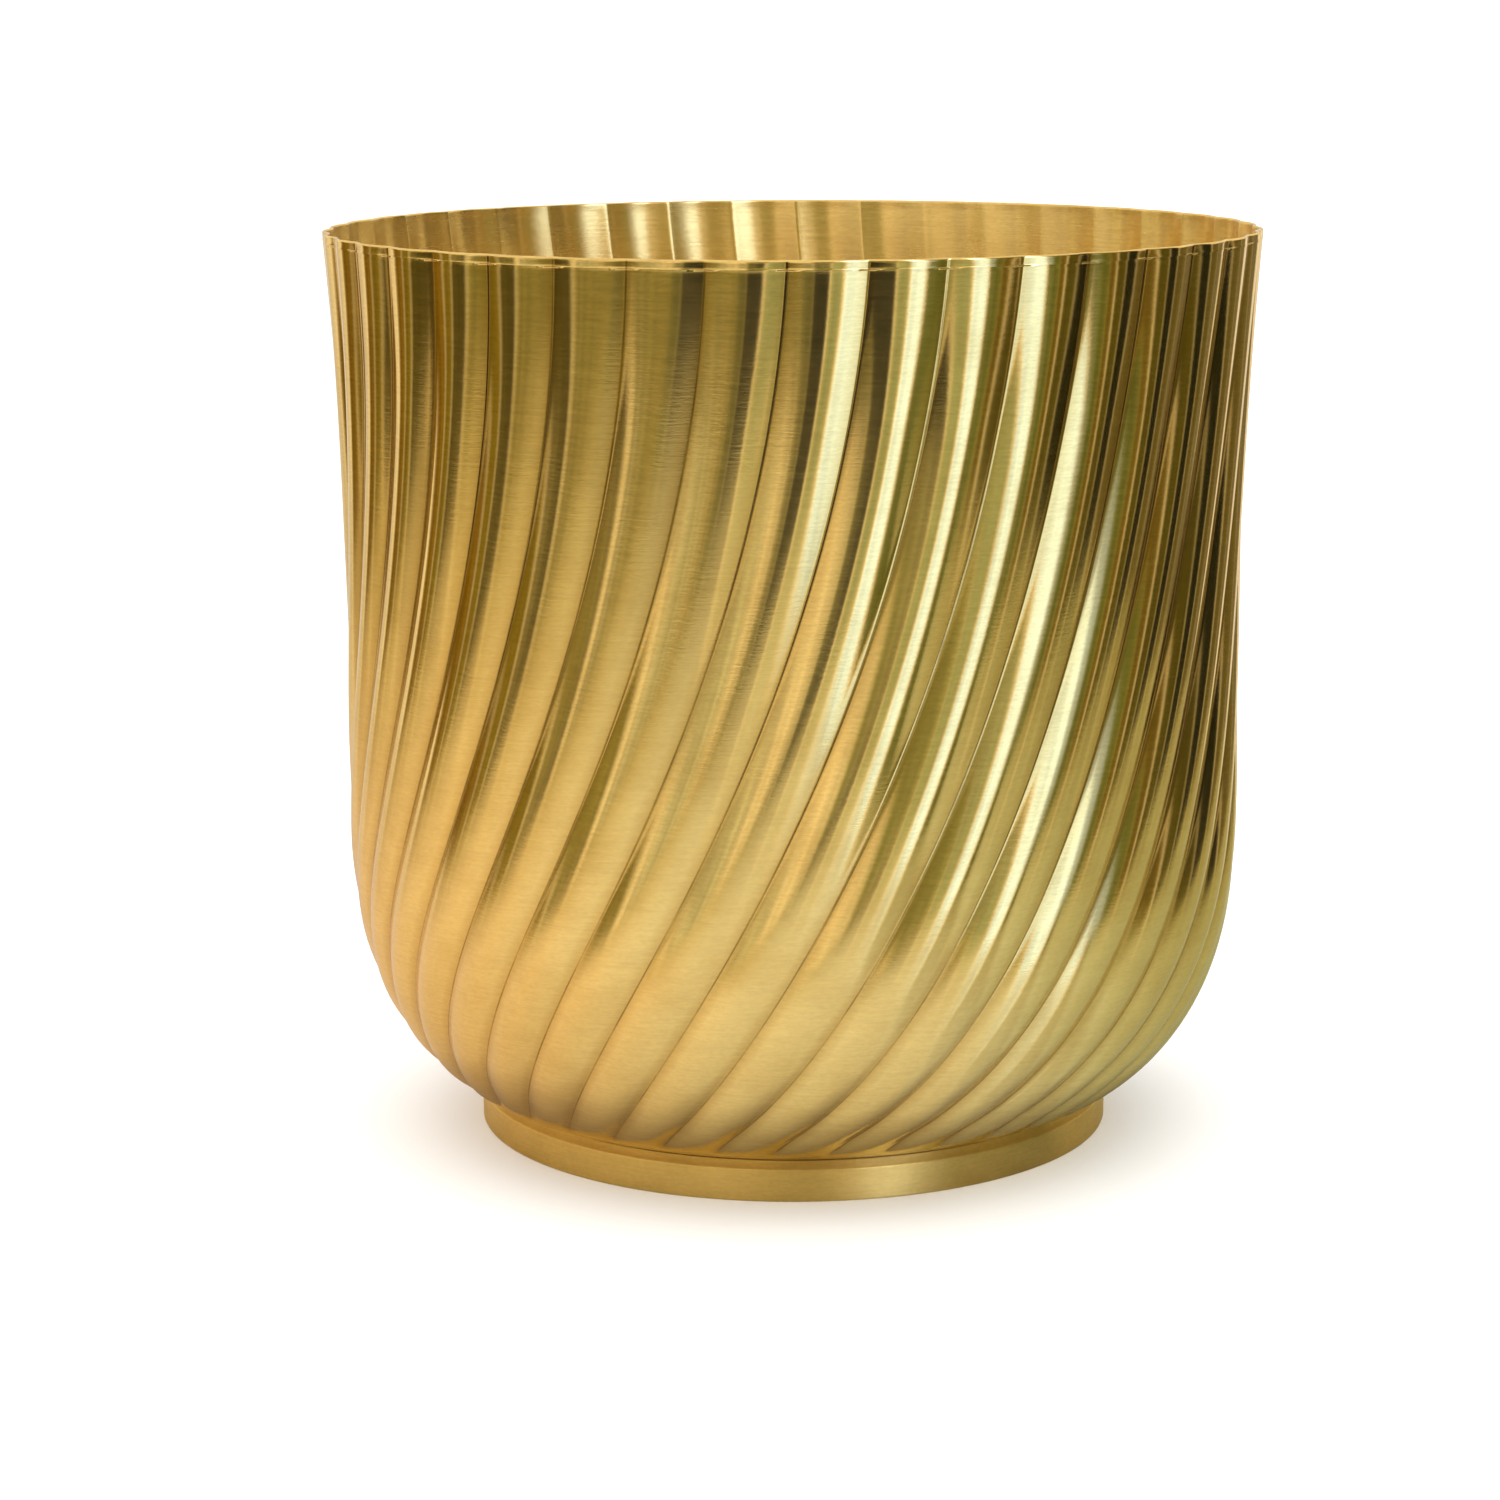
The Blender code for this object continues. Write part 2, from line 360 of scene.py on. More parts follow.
def fluting_tree():
    """Wraps the outline round the axis in convex flutes that meet in sharp creases."""
    tree = bpy.data.node_groups.new("fluted sheet", "GeometryNodeTree")
    face = tree.interface
    face.new_socket("Outline", in_out="INPUT", socket_type="NodeSocketGeometry")
    for name, kind in (
        ("Flutes", "Int"), ("Columns per flute", "Int"), ("Flute depth", "Float"),
        ("Flank flatness", "Float"), ("Crease round", "Float"), ("Crease azimuth", "Float"),
        ("Waver", "Float"), ("Waver length", "Float"), ("Seed", "Int"), ("Material", "Material"),
    ):
        face.new_socket(name, in_out="INPUT", socket_type="NodeSocket" + kind)
    face.new_socket("Bowl", in_out="OUTPUT", socket_type="NodeSocketGeometry")

    given = add(tree, "NodeGroupInput").outputs
    flutes = given["Flutes"]
    per_flute = given["Columns per flute"]
    flatness = given["Flank flatness"]
    rows = add(tree, "GeometryNodeAttributeDomainSize",
               {"Geometry": given["Outline"]}, component="MESH").outputs["Point Count"]
    columns = add(tree, MATH, {0: flutes, 1: per_flute, 2: 1.0}, operation="MULTIPLY_ADD")
    grid = add(tree, "GeometryNodeMeshGrid", {"Vertices X": columns, "Vertices Y": rows})

    index = add(tree, "GeometryNodeInputIndex")
    row = add(tree, MATH, {0: index, 1: rows}, operation="MODULO")
    column = add(tree, MATH, {0: index, 1: rows}, operation="DIVIDE")
    column = add(tree, MATH, {0: column}, operation="FLOOR")

    def at_row(value, data_type):
        return add(tree, "GeometryNodeSampleIndex", {
            "Geometry": given["Outline"], "Value": value, "Index": row,
        }, data_type=data_type, domain="POINT").outputs["Value"]

    def row_attribute(name, data_type):
        named = add(tree, "GeometryNodeInputNamedAttribute", {"Name": name}, data_type=data_type)
        return at_row(named.outputs["Attribute"], data_type)

    place = at_row(add(tree, "GeometryNodeInputPosition"), "FLOAT_VECTOR")
    place = add(tree, "ShaderNodeSeparateXYZ", {0: place}).outputs
    normal = row_attribute("outward", "FLOAT_VECTOR")
    normal = add(tree, "ShaderNodeSeparateXYZ", {0: normal}).outputs
    flute = row_attribute("flute", "FLOAT")
    turn = row_attribute("turn", "FLOAT")
    inside = row_attribute("inside", "FLOAT")

    # Across one flute from crease to crease, -1 to 1, with columns closer by the creases
    flute_place = add(tree, MATH, {0: column, 1: per_flute}, operation="DIVIDE")
    flute_number = add(tree, MATH, {0: flute_place}, operation="FLOOR")
    even = add(tree, MATH, {0: flute_place}, operation="FRACT")
    even = add(tree, MATH, {0: even, 1: 2.0, 2: -1.0}, operation="MULTIPLY_ADD")
    bunched = add(tree, MATH, {0: even, 1: math.pi / 2.0}, operation="MULTIPLY")
    bunched = add(tree, MATH, {0: bunched}, operation="SINE")
    bunched = add(tree, MATH, {0: bunched, 1: COLUMN_BUNCHING}, operation="MULTIPLY")
    even = add(tree, MATH, {0: even, 1: 1.0 - COLUMN_BUNCHING}, operation="MULTIPLY")
    across = add(tree, MATH, {0: even, 1: bunched}, operation="ADD")
    off_crest = add(tree, MATH, {0: across}, operation="ABSOLUTE")

    # A flute is a shallow crown with flatter flanks, whose last stretch rounds into the crease
    half_pitch = add(tree, MATH, {0: place["X"], 1: math.pi}, operation="MULTIPLY")
    half_pitch = add(tree, MATH, {0: half_pitch, 1: flutes}, operation="DIVIDE")
    half_pitch = add(tree, MATH, {0: half_pitch, 1: 1.0 * MM}, operation="MAXIMUM")
    rounding = add(tree, MATH, {0: given["Crease round"], 1: half_pitch}, operation="DIVIDE")
    rounding = add(tree, MATH, {0: rounding, 1: 0.5}, operation="MINIMUM")
    straight = add(tree, MATH, {0: 1.0, 1: rounding}, operation="SUBTRACT")
    square = add(tree, MATH, {0: off_crest, 1: straight}, operation="MINIMUM")
    square = add(tree, MATH, {0: square, 1: 2.0}, operation="POWER")
    steepest = add(tree, MATH, {0: 1.0, 1: flatness}, operation="ADD")
    flattened = add(tree, MATH, {0: square, 1: flatness}, operation="MULTIPLY")
    flank = add(tree, MATH, {0: steepest, 1: flattened}, operation="SUBTRACT")
    crown = add(tree, MATH, {0: square, 1: flank}, operation="MULTIPLY")
    past = add(tree, MATH, {0: off_crest, 1: straight}, operation="SUBTRACT")
    past = add(tree, MATH, {0: past, 1: 0.0}, operation="MAXIMUM")
    past = add(tree, MATH, {0: past, 1: rounding}, operation="DIVIDE")
    eased = add(tree, MATH, {0: past, 1: 2.0}, operation="POWER")
    eased = add(tree, MATH, {0: eased, 1: 0.5}, operation="MULTIPLY")
    eased = add(tree, MATH, {0: past, 1: eased}, operation="SUBTRACT")
    end_slope = add(tree, MATH, {0: flatness, 1: -2.0, 2: 2.0}, operation="MULTIPLY_ADD")
    fillet = add(tree, MATH, {0: rounding, 1: end_slope}, operation="MULTIPLY")
    fillet = add(tree, MATH, {0: fillet, 1: eased}, operation="MULTIPLY")
    profile = add(tree, MATH, {0: crown, 1: fillet}, operation="ADD")
    dip = add(tree, MATH, {0: profile, 1: flute}, operation="MULTIPLY")

    # Creases are marked for the material, and fade out where the flutes run out
    marked = add(tree, MATH, {0: flute, 1: 4.0}, operation="MULTIPLY")
    marked = add(tree, MATH, {0: marked, 1: 1.0}, operation="MINIMUM")
    crease = add(tree, MATH, {0: off_crest, 1: marked}, operation="MULTIPLY")
    drop = add(tree, MATH, {0: inside, 1: INSIDE_DROP}, operation="MULTIPLY")
    crease = add(tree, MATH, {0: crease, 1: drop}, operation="SUBTRACT")

    azimuth = add(tree, MATH, {0: across, 1: 0.5, 2: 0.5}, operation="MULTIPLY_ADD")
    azimuth = add(tree, MATH, {0: flute_number, 1: azimuth}, operation="ADD")
    azimuth = add(tree, MATH, {0: azimuth, 1: flutes}, operation="DIVIDE")
    azimuth = add(tree, MATH, {0: azimuth, 1: math.tau}, operation="MULTIPLY")
    azimuth = add(tree, MATH, {0: azimuth, 1: given["Crease azimuth"]}, operation="ADD")
    azimuth = add(tree, MATH, {0: azimuth, 1: turn}, operation="SUBTRACT")
    sine = add(tree, MATH, {0: azimuth}, operation="SINE")
    cosine = add(tree, MATH, {0: azimuth}, operation="COSINE")

    # The sheet isn't perfectly even: it wavers by a few hundredths of a millimetre
    on_ring = add(tree, "ShaderNodeCombineXYZ", {
        "X": add(tree, MATH, {0: sine, 1: place["X"]}, operation="MULTIPLY"),
        "Y": add(tree, MATH, {0: cosine, 1: place["X"]}, operation="MULTIPLY"),
        "Z": add(tree, MATH, {0: place["Z"], 1: WAVER_STRETCH}, operation="MULTIPLY")})
    closeness = add(tree, MATH, {0: 1.0, 1: given["Waver length"]}, operation="DIVIDE")
    waver = add(tree, "ShaderNodeTexNoise", {
        "Vector": on_ring, "W": given["Seed"], "Detail": 1.0, "Scale": closeness}, noise_dimensions="4D")
    waver = add(tree, MATH, {0: waver, 1: 0.5}, operation="SUBTRACT")
    waver = add(tree, MATH, {0: waver, 1: given["Waver"]}, operation="MULTIPLY")
    waver = add(tree, MATH, {0: waver, 1: flute}, operation="MULTIPLY")

    inward = add(tree, MATH, {0: dip, 1: given["Flute depth"]}, operation="MULTIPLY")
    inward = add(tree, MATH, {0: inward, 1: waver}, operation="SUBTRACT")
    radius = add(tree, MATH, {0: inward, 1: normal["X"]}, operation="MULTIPLY")
    radius = add(tree, MATH, {0: place["X"], 1: radius}, operation="SUBTRACT")
    height = add(tree, MATH, {0: inward, 1: normal["Z"]}, operation="MULTIPLY")
    height = add(tree, MATH, {0: place["Z"], 1: height}, operation="SUBTRACT")
    x = add(tree, MATH, {0: sine, 1: radius}, operation="MULTIPLY")
    y = add(tree, MATH, {0: cosine, 1: radius}, operation="MULTIPLY")
    y = add(tree, MATH, {0: y, 1: -1.0}, operation="MULTIPLY")
    position = add(tree, "ShaderNodeCombineXYZ", {"X": x, "Y": y, "Z": height})

    bowl = add(tree, "GeometryNodeStoreNamedAttribute", {
        "Geometry": grid, "Name": "crease", "Value": crease}, data_type="FLOAT", domain="POINT")
    bowl = add(tree, "GeometryNodeSetPosition", {"Geometry": bowl, "Position": position})
    bowl = add(tree, "GeometryNodeMergeByDistance", {"Geometry": bowl, "Distance": 0.01 * MM})
    bowl = add(tree, "GeometryNodeSetShadeSmooth", {"Geometry": bowl})
    bowl = add(tree, "GeometryNodeRealizeInstances", {"Geometry": bowl})
    bowl = add(tree, "GeometryNodeSetMaterial", {"Geometry": bowl, "Material": given["Material"]})
    add(tree, "NodeGroupOutput", {"Bowl": bowl})
    return tree


def grown(name, source, tree, sizes):
    """Runs a tree on a source object and keeps the result as a plain mesh."""
    modifier = source.modifiers.new("grow", "NODES")
    modifier.node_group = tree
    for item in tree.interface.items_tree:
        if item.in_out == "INPUT" and item.name in sizes:
            modifier[item.identifier] = sizes[item.name]
    source.update_tag()
    graph = bpy.context.evaluated_depsgraph_get()
    mesh = bpy.data.meshes.new_from_object(source.evaluated_get(graph), depsgraph=graph)
    mesh.name = name
    bpy.data.objects.remove(source, do_unlink=True)
    return plain_object(name, mesh)


def turned(name, profile, segments, material):
    """A closed profile of (radius, height) points turned about the Z axis."""
    bm = bmesh.new()
    rows = []
    for radius, height in profile:
        angles = [math.tau * i / segments for i in range(segments)]
        rows.append([bm.verts.new((radius * math.cos(a), radius * math.sin(a), height)) for a in angles])
    for low, high in zip(rows, rows[1:] + rows[:1]):
        for i in range(segments):
            j = (i + 1) % segments
            bm.faces.new((low[i], low[j], high[j], high[i])).smooth = True
    bmesh.ops.recalc_face_normals(bm, faces=bm.faces)
    mesh = bpy.data.meshes.new(name)
    bm.to_mesh(mesh)
    bm.free()
    mesh.materials.append(material)
    mesh.set_sharp_from_angle(angle=math.radians(40.0))
    return plain_object(name, mesh)


def arc_points(centre, radius, start, end, steps):
    points = []
    for k in range(steps + 1):
        angle = math.radians(lerp(start, end, k / steps))
        points.append((centre[0] + radius * math.cos(angle), centre[1] + radius * math.sin(angle)))
    return points


# ------------------------------------------------------------ materials


def brass(name, colour, tarnish_and_shade_colour, roughness, anisotropy, line_height):
    """Brass turned and brushed round the axis: fine rings that stretch reflections upright."""
    material = bpy.data.materials.new(name)
    material.use_nodes = True
    tree = material.node_tree
    shader = tree.nodes["Principled BSDF"]
    shader.inputs["Metallic"].default_value = 1.0
    shader.inputs["Anisotropic"].default_value = anisotropy
    shader.inputs["Anisotropic Rotation"].default_value = 0.25

    def streaks(size, detail):
        """Noise drawn out to a length round the pot and a width up it."""
        length, width = size
        stretched = add(tree, "ShaderNodeMapping", {
            "Vector": add(tree, "ShaderNodeTexCoord").outputs["Object"],
            "Scale": (1.0 / length, 1.0 / length, 1.0 / width)})
        return add(tree, "ShaderNodeTexNoise", {
            "Vector": stretched, "Scale": 1.0, "Detail": detail, "Roughness": 0.6})

    fine = streaks(LATHE_LINES, 4.0)
    grain = streaks(GRAIN, 2.0)
    cloudy = streaks(CLOUDS, 3.0)

    # Lathe lines and grain stand out in patches that the polishing mop reached less
    patches = add(tree, MAP, {
        "Value": streaks(WORN_PATCHES, 2.0), "From Min": 0.42, "From Max": 0.60,
        "To Min": 0.4, "To Max": 1.3})
    scuffs = add(tree, MATH, {0: grain, 1: patches}, operation="MULTIPLY")
    ridges = add(tree, MATH, {0: fine, 1: patches}, operation="MULTIPLY")
    lines = add(tree, "ShaderNodeBump", {"Height": ridges, "Distance": line_height, "Strength": 1.0})
    lines = add(tree, "ShaderNodeBump", {
        "Height": scuffs, "Distance": line_height * 0.7, "Strength": 1.0, "Normal": lines})
    tangent = add(tree, "ShaderNodeTangent", direction_type="RADIAL", axis="Z")

    # Tarnish lies in faint clouds. Towards the creases the brass darkens, partly tarnish and partly
    # painted shade standing in for the creases' occlusion
    crease = add(tree, "ShaderNodeAttribute", attribute_name="crease").outputs["Fac"]
    crease_tarnish_and_shade = add(tree, MAP, {
        "Value": crease, "From Min": TARNISH_AND_SHADE_FROM, "From Max": 1.0, "To Min": 0.0, "To Max": 0.5})
    blotch = add(tree, MAP, {
        "Value": cloudy, "From Min": 0.42, "From Max": 0.75, "To Min": 0.0, "To Max": 0.25})
    tarnish_and_shade = add(tree, MATH, {0: crease_tarnish_and_shade, 1: blotch}, operation="MAXIMUM")
    tint = add(tree, "ShaderNodeMix", {
        "Factor": tarnish_and_shade, "A": linear(colour), "B": linear(tarnish_and_shade_colour)}, data_type="RGBA")
    patchy = add(tree, MAP, {
        "Value": cloudy, "From Min": 0.38, "From Max": 0.62, "To Min": 0.25, "To Max": 0.65})
    # A dark brown line runs along each crease, partly old polish and partly painted shade of the crease,
    # stronger in patches
    crease_dirt_and_shade = add(tree, MAP, {
        "Value": crease, "From Min": DIRT_AND_SHADE_FROM, "From Max": DIRT_AND_SHADE_FULL, "To Min": 0.0, "To Max": patchy})
    tint = add(tree, "ShaderNodeMix", {
        "Factor": crease_dirt_and_shade, "A": tint.outputs["Result"], "B": linear("#54390F")}, data_type="RGBA")
    speckle = add(tree, MATH, {0: fine, 1: grain}, operation="ADD")
    speckle = add(tree, MAP, {
        "Value": speckle, "From Min": 0.7, "From Max": 1.3, "To Min": 0.92, "To Max": 1.07})
    tint = add(tree, "ShaderNodeVectorMath", {
        0: tint.outputs["Result"], "Scale": speckle}, operation="SCALE")

    # The polish is a little uneven, and the inside was left duller
    uneven = add(tree, MATH, {0: fine, 1: cloudy}, operation="ADD")
    uneven = add(tree, MAP, {
        "Value": uneven, "From Min": 0.6, "From Max": 1.4, "To Min": 0.88, "To Max": 1.15})
    duller = add(tree, MAP, {
        "Value": crease, "From Min": -0.9, "From Max": 0.0,
        "To Min": roughness * 2.0, "To Max": roughness})
    rough = add(tree, MATH, {0: uneven, 1: duller}, operation="MULTIPLY")
    for socket, node in (
        ("Base Color", tint), ("Roughness", rough), ("Normal", lines), ("Tangent", tangent),
    ):
        tree.links.new(node.outputs[0], shader.inputs[socket])
    return material


# ------------------------------------------------------------ pieces


def fluted_bowl():
    source = outline_object(outline_rows())
    return grown("brass_fluted_bowl", source, fluting_tree(), {
        "Flutes": FLUTES,
        "Columns per flute": COLUMNS_PER_FLUTE,
        "Flute depth": FLUTE_DEPTH,
        "Flank flatness": FLUTE_FLATNESS,
        "Crease round": CREASE_ROUND,
        "Crease azimuth": CREASE_AT_RIM,
        "Waver": WAVER,
        "Waver length": WAVER_LENGTH,
        "Seed": 4,
        "Material": brass("polished spun brass", "#EFD896", "#BC9440", 0.125, 0.7, 0.01 * MM),
    })


def foot_ring():
    edge = FOOT_EDGE_ROUND
    inner = FOOT_RADIUS - FOOT_WALL
    flange_low = FLANGE_TOP - FLANGE_THICK
    cove = FLANGE_TOP - FOOT_BAND_TOP
    profile = arc_points((FOOT_RADIUS - edge, edge), edge, -90.0, 0.0, 5)
    profile += [(FOOT_RADIUS, FOOT_BAND_TOP / 2.0)]
    profile += arc_points((FOOT_RADIUS - edge, FOOT_BAND_TOP - edge), edge, 0.0, 70.0, 5)
    profile += [(FOOT_NECK_RADIUS + cove * 0.5, FOOT_BAND_TOP + cove * 0.30)]
    profile += [(FOOT_NECK_RADIUS, FLANGE_TOP), (FLANGE_INNER, FLANGE_TOP)]
    profile += [(FLANGE_INNER, flange_low), (inner - edge, flange_low)]
    profile += arc_points((inner + edge, edge), edge, 180.0, 270.0, 3)
    satin = brass("satin turned brass", "#F0D384", "#BC9440", 0.44, 0.93, 0.008 * MM)
    return turned("brass_foot_ring", profile, FOOT_SEGMENTS, satin)


def brazed_joint():
    outer = FLANGE_INNER - GAP
    profile = [(outer, FLANGE_TOP)]
    for along, down in ((1.0, 0.0), (0.8, 0.35), (0.45, 0.7), (0.15, 1.0)):
        profile.append((outer - FILLET_LEG * along, FLANGE_TOP - down * MM))
    profile.append((outer, FLANGE_TOP - FILLET_DROP))
    alloy = brass("silver brazing alloy", "#CDBE93", "#8A7B55", 0.45, 0.0, 0.01 * MM)
    return turned("brazed_joint", profile, FOOT_SEGMENTS, alloy)


# ------------------------------------------------------------ camera, floor and light


def place_camera():
    data = bpy.data.cameras.new("camera")
    data.sensor_width = 36.0
    data.lens = CAMERA_LENS
    data.clip_start = 0.01
    camera = bpy.data.objects.new("camera", data)
    bpy.context.scene.collection.objects.link(camera)
    camera.location = (0.0, -CAMERA_DISTANCE, CAMERA_HEIGHT)
    turn = Euler((math.pi / 2.0 - LOOKS_DOWN, 0.0, LOOKS_ASIDE), "XYZ")
    roll = Euler((0.0, 0.0, CAMERA_ROLL), "XYZ")
    camera.rotation_euler = (turn.to_matrix() @ roll.to_matrix()).to_euler()
    bpy.context.scene.camera = camera


def stage_disc(name, radius, height, material):
    bm = bmesh.new()
    bmesh.ops.create_circle(bm, cap_ends=True, segments=96, radius=radius)
    mesh = bpy.data.meshes.new(name)
    bm.to_mesh(mesh)
    bm.free()
    mesh.transform(Matrix.Translation((0.0, 0.0, height)))
    mesh.materials.append(material)
    disc = plain_object(name, mesh)
    return disc


def floor():
    """White floor that the camera sees. The brass sees the table sheet and the studio instead."""
    material = bpy.data.materials.new("white paper floor")
    material.use_nodes = True
    shader = material.node_tree.nodes["Principled BSDF"]
    shader.inputs["Base Color"].default_value = linear("#FAFAFA")
    shader.inputs["Roughness"].default_value = 0.9
    disc = stage_disc("floor", FLOOR_RADIUS, 0.0, material)
    disc.visible_glossy = False


# Colour of the table by azimuth in degrees, from -Y towards +X: warm on the left, daylit on the
# right
TABLE_TINTS = (
    (-170, "#AD9F99"), (-140, "#B9A69F"), (-110, "#CAB196"), (-60, "#D3BC9B"),
    (-10, "#CCC4B1"), (20, "#C8C2B2"), (38, "#C5C8C3"), (58, "#B1B49F"),
    (85, "#A0A387"), (110, "#939878"), (150, "#858A79"),
)


def table_sheet():
    """Table round the pot, seen only in its reflections. The pot's shadow is painted on it beside the
    foot, and it gives way to the room with distance, sooner where the softbox glares on it."""
    material = bpy.data.materials.new("warm paper sheet")
    material.use_nodes = True
    tree = material.node_tree
    where = add(tree, "ShaderNodeTexCoord").outputs["Object"]
    apart = add(tree, "ShaderNodeSeparateXYZ", {0: where}).outputs
    front = add(tree, MATH, {0: apart["Y"], 1: -1.0}, operation="MULTIPLY")
    azimuth = add(tree, MATH, {0: apart["X"], 1: front}, operation="ARCTAN2")
    turn = add(tree, MATH, {0: azimuth, 1: 1.0 / math.tau, 2: 0.5}, operation="MULTIPLY_ADD")
    tint = add(tree, "ShaderNodeValToRGB", {"Fac": turn})
    ramp = tint.color_ramp.elements
    ramp.remove(ramp[-1])
    ramp[0].position = 0.5 + TABLE_TINTS[0][0] / 360.0
    ramp[0].color = linear(TABLE_TINTS[0][1])
    for degrees, code in TABLE_TINTS[1:]:
        ramp.new(0.5 + degrees / 360.0).color = linear(code)

    off_glare = add(tree, MATH, {0: azimuth, 1: GLARE_AZIMUTH}, operation="SUBTRACT")
    off_glare = add(tree, MATH, {0: off_glare}, operation="ABSOLUTE")
    glare = add(tree, MAP, {
        "Value": off_glare, "From Min": GLARE_WIDTH[0], "From Max": GLARE_WIDTH[1],
        "To Min": 1.0, "To Max": 1.9}, interpolation_type="SMOOTHSTEP")
    reach = add(tree, "ShaderNodeVectorMath", {0: where, 1: TABLE_MIDDLE}, operation="DISTANCE")
    reach = add(tree, MATH, {0: reach.outputs["Value"], 1: glare}, operation="MULTIPLY")
    far = add(tree, MAP, {
        "Value": reach, "From Min": TABLE_FADE[0], "From Max": TABLE_FADE[1], "To Max": 0.55})
    edge = add(tree, MAP, {
        "Value": reach, "From Min": TABLE_EDGE[0], "From Max": TABLE_EDGE[1]})
    fade = add(tree, MATH, {0: far, 1: edge}, operation="MAXIMUM")
    tint = add(tree, "ShaderNodeMix", {
        "Factor": far, "A": tint, "B": linear("#B9A560")}, data_type="RGBA")
    # Painted shadow of the pot: the sheet darkens to a warm brown beside the foot
    beside = add(tree, "ShaderNodeVectorMath", {0: where}, operation="LENGTH").outputs["Value"]
    beside = add(tree, MAP, {
        "Value": beside, "From Min": PAINTED_FOOT_SHADOW[0], "From Max": PAINTED_FOOT_SHADOW[1],
        "To Min": 0.5, "To Max": 0.0})
    tint = add(tree, "ShaderNodeMix", {
        "Factor": beside, "A": tint.outputs["Result"], "B": linear("#5E4A1C")}, data_type="RGBA")
    paper = add(tree, "ShaderNodeBsdfDiffuse", {"Color": tint.outputs["Result"]})
    clear = add(tree, "ShaderNodeBsdfTransparent")
    blend = add(tree, "ShaderNodeMixShader", {0: fade, 1: paper, 2: clear})
    tree.links.new(blend.outputs[0], tree.nodes["Material Output"].inputs["Surface"])
    disc = stage_disc("table_sheet", TABLE_RADIUS, 0.2 * MM, material)
    disc.visible_camera = False
    disc.visible_diffuse = False
    disc.visible_shadow = False


# Studio cards that the brass reflects, each laid over those before it. Azimuth is from -Y towards +X
# and elevation is from level, both in degrees: colour, strength, azimuth, half width, softness,
# lowest elevation, highest elevation, softness.
CARDS = (
    ("#FFEDA0", 0.43, 0.0, 180.0, 0.0, -90.0, 6.0, 4.0),        # far wall of the room
    ("#FFF4C8", 0.68, -48.0, 13.0, 14.0, -8.0, 6.0, 5.0),
    ("#FFE768", 0.24, -40.0, 30.0, 12.0, -90.0, -8.0, 5.0),     # floor beyond the table
    ("#FFE770", 0.31, -82.0, 12.0, 10.0, -5.0, 6.0, 4.0),       # olive curtain
    ("#FFDE28", 0.07, -83.0, 12.0, 6.0, -90.0, -5.0, 5.0),      # its dark foot
    ("#FFD838", 0.22, -104.0, 8.0, 8.0, -90.0, 6.0, 4.0),
    ("#FFC428", 0.23, -122.0, 9.0, 7.0, -90.0, 6.0, 4.0),       # wooden door
    ("#FFF678", 0.12, -14.0, 7.0, 8.0, -90.0, -7.0, 5.0),
    ("#FFF690", 0.29, 2.0, 12.0, 8.0, -6.0, 20.0, 12.0),        # dark picture
    ("#FFF6B1", 0.012, 1.0, 9.5, 3.0, -90.0, -6.0, 4.0),        # black flag
    ("#FAFFC0", 0.38, 20.0, 7.0, 5.0, -90.0, 6.0, 4.0),
    ("#F9FF84", 0.18, 59.0, 8.0, 3.0, -90.0, 35.0, 10.0),         # dark green flag
    ("#D4E6FF", 0.86, 50.0, 5.0, 6.0, -6.5, 9.0, 5.0),          # edge of the softbox
    ("#CDE1FF", 1.90, 39.0, 9.2, 3.0, -90.0, 12.0, 4.0),         # softbox
    ("#DDE8FF", 5.00, 35.0, 8.0, 8.0, 12.0, 50.0, 4.0),         # its upper half, turned to the pot
    ("#FFD84A", 0.18, 71.0, 5.0, 4.0, -90.0, 35.0, 10.0),
    ("#FFE73C", 0.085, 86.0, 8.0, 5.0, -90.0, 35.0, 10.0),
    ("#FFF138", 0.015, 103.0, 8.5, 4.0, -90.0, 35.0, 10.0),       # black flag
    ("#FFE078", 0.14, 122.0, 9.5, 5.0, -90.0, 6.0, 4.0),        # wooden cabinet
    ("#FFE7AA", 0.20, 139.0, 8.0, 6.0, -90.0, 6.0, 4.0),
    ("#FFEDD6", 0.74, 184.0, 29.0, 7.0, -90.0, 9.0, 4.0),       # white backdrop
)


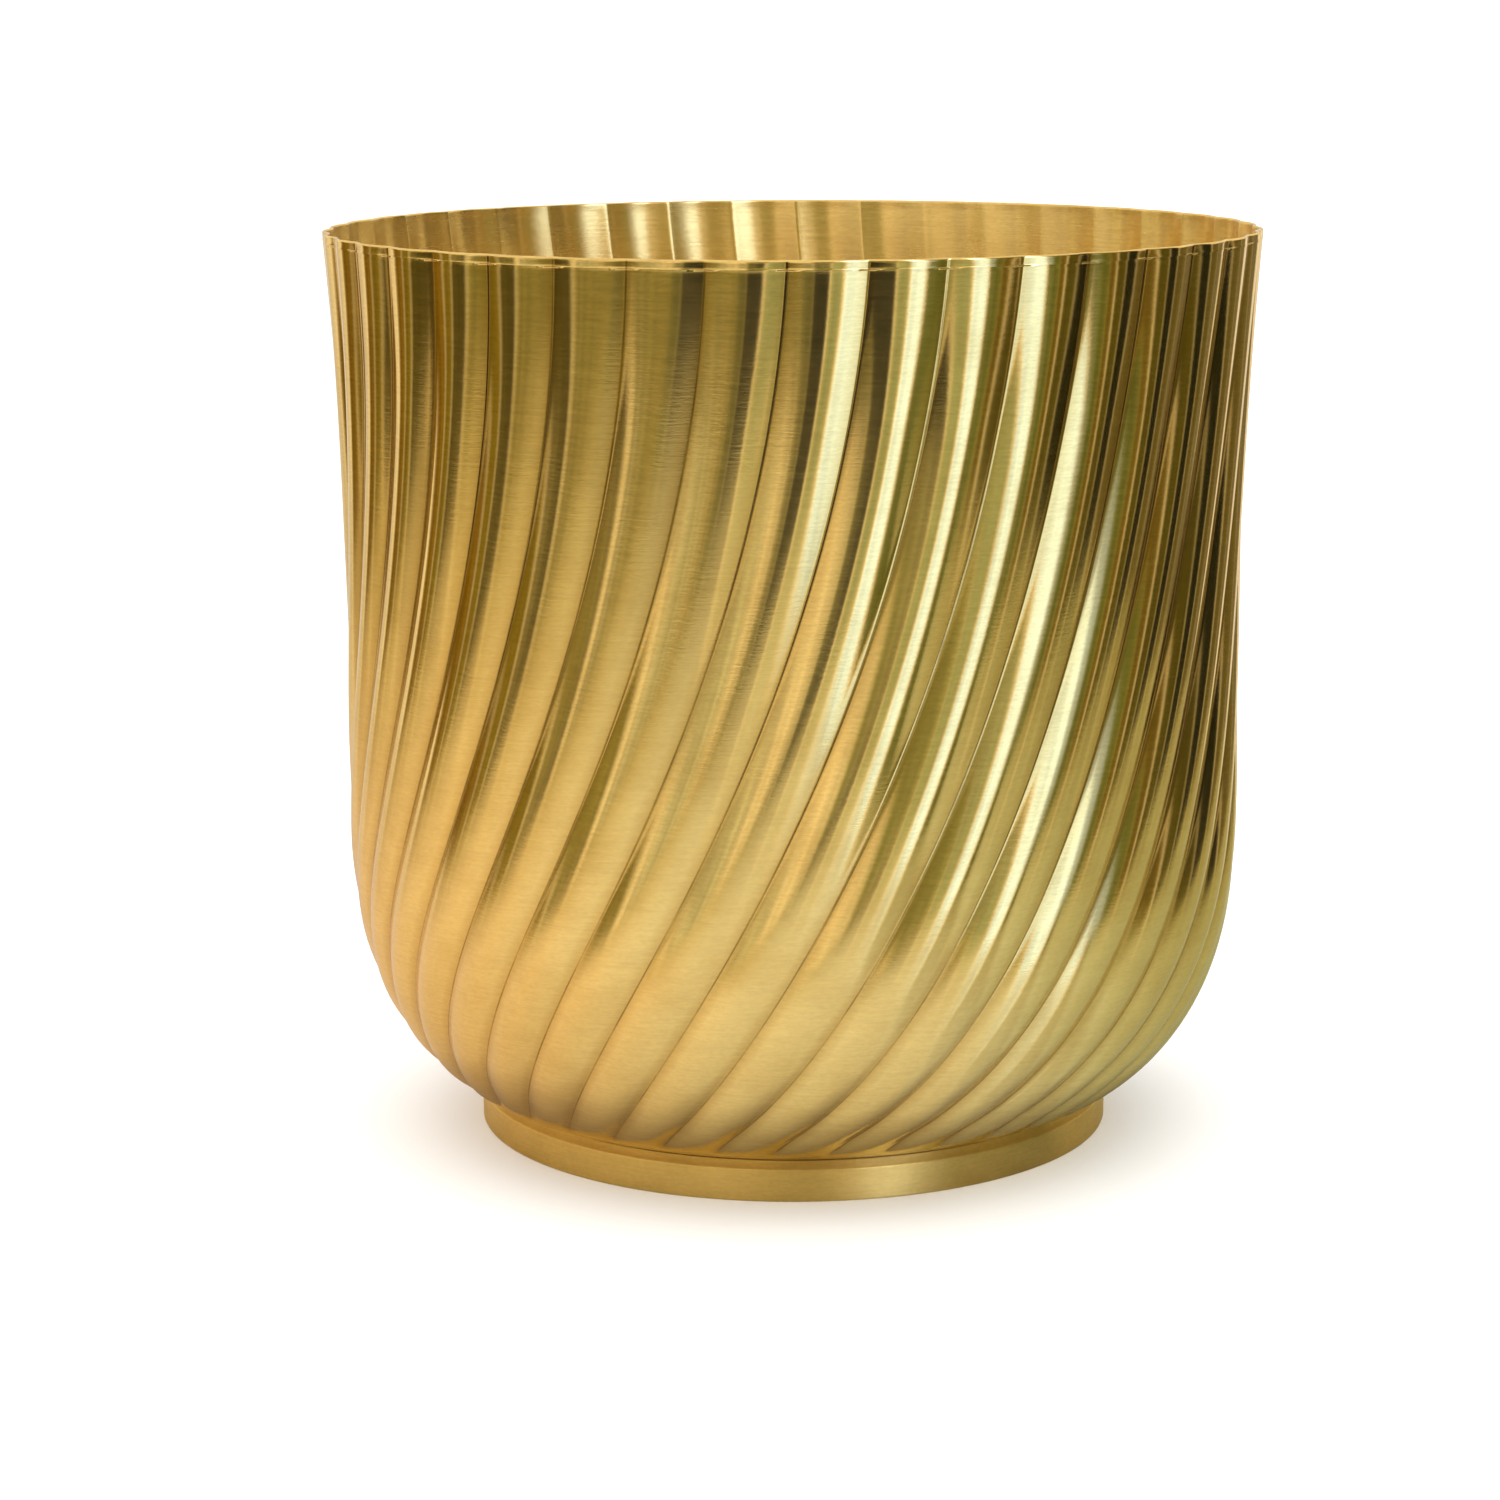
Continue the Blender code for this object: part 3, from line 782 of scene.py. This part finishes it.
def studio():
    """The world: even white light on the floor, and a room of cards round the brass."""
    scene = bpy.context.scene
    scene.view_settings.view_transform = "Standard"
    scene.world = bpy.data.worlds.new("studio")
    scene.world.use_nodes = True
    tree = scene.world.node_tree

    way = add(tree, "ShaderNodeTexCoord").outputs["Generated"]
    x, y, z = add(tree, "ShaderNodeSeparateXYZ", {0: way}).outputs
    front = add(tree, MATH, {0: y, 1: -1.0}, operation="MULTIPLY")
    azimuth = add(tree, MATH, {0: x, 1: front}, operation="ARCTAN2")
    azimuth = add(tree, MATH, {0: azimuth}, operation="DEGREES")
    elevation = add(tree, MATH, {0: z}, operation="ARCSINE")
    elevation = add(tree, MATH, {0: elevation}, operation="DEGREES")

    colour = add(tree, "ShaderNodeRGB").outputs[0]
    colour.default_value = linear("#FFE9C2")
    for code, strength, centre, half, soft, low, high, soft_up in CARDS:
        beside = add(tree, MATH, {0: azimuth, 1: centre}, operation="SUBTRACT")
        beside = add(tree, MATH, {0: beside, 1: 180.0, 2: -180.0}, operation="WRAP")
        beside = add(tree, MATH, {0: beside}, operation="ABSOLUTE")
        above = add(tree, MATH, {0: elevation, 1: (low + high) / 2.0}, operation="SUBTRACT")
        above = add(tree, MATH, {0: above}, operation="ABSOLUTE")
        masks = [
            add(tree, MAP, {
                "Value": off, "From Min": reach + blur / 2.0, "From Max": reach - blur / 2.0,
            }, interpolation_type="SMOOTHSTEP")
            for off, reach, blur in ((beside, half, soft), (above, (high - low) / 2.0, soft_up))]
        mask = add(tree, MATH, {0: masks[0], 1: masks[1]}, operation="MULTIPLY")
        shade = tuple(c * strength for c in linear(code)[:3]) + (1.0,)
        colour = add(tree, "ShaderNodeMix", {
            "Factor": mask, "A": colour, "B": shade}, data_type="RGBA").outputs["Result"]
    clutter = add(tree, "ShaderNodeTexNoise", {"Vector": way, "Scale": 9.0, "Detail": 3.0})
    clutter = add(tree, MAP, {
        "Value": clutter, "From Min": 0.3, "From Max": 0.7, "To Min": 0.65, "To Max": 1.3})
    colour = add(tree, "ShaderNodeVectorMath", {0: colour, "Scale": clutter}, operation="SCALE")
    glossy = add(tree, "ShaderNodeLightPath").outputs["Is Glossy Ray"]
    colour = add(tree, "ShaderNodeMix", {
        "Factor": glossy, "A": (STUDIO_WHITE, STUDIO_WHITE, STUDIO_WHITE, 1.0), "B": colour,
    }, data_type="RGBA").outputs["Result"]
    tree.links.new(colour, tree.nodes["Background"].inputs["Color"])
    tree.nodes["Background"].inputs["Strength"].default_value = 1.0


bowl = fluted_bowl()
foot = foot_ring()
joint = brazed_joint()
for piece, node, slot in (
    (bowl, "fluted_bowl", "bowl_brass"),
    (foot, "foot_ring", "foot_brass"),
    (joint, "solder_fillet", "brazing_alloy"),
):
    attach(piece, "root")
    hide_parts(node)
place_camera()
floor()
table_sheet()
studio()
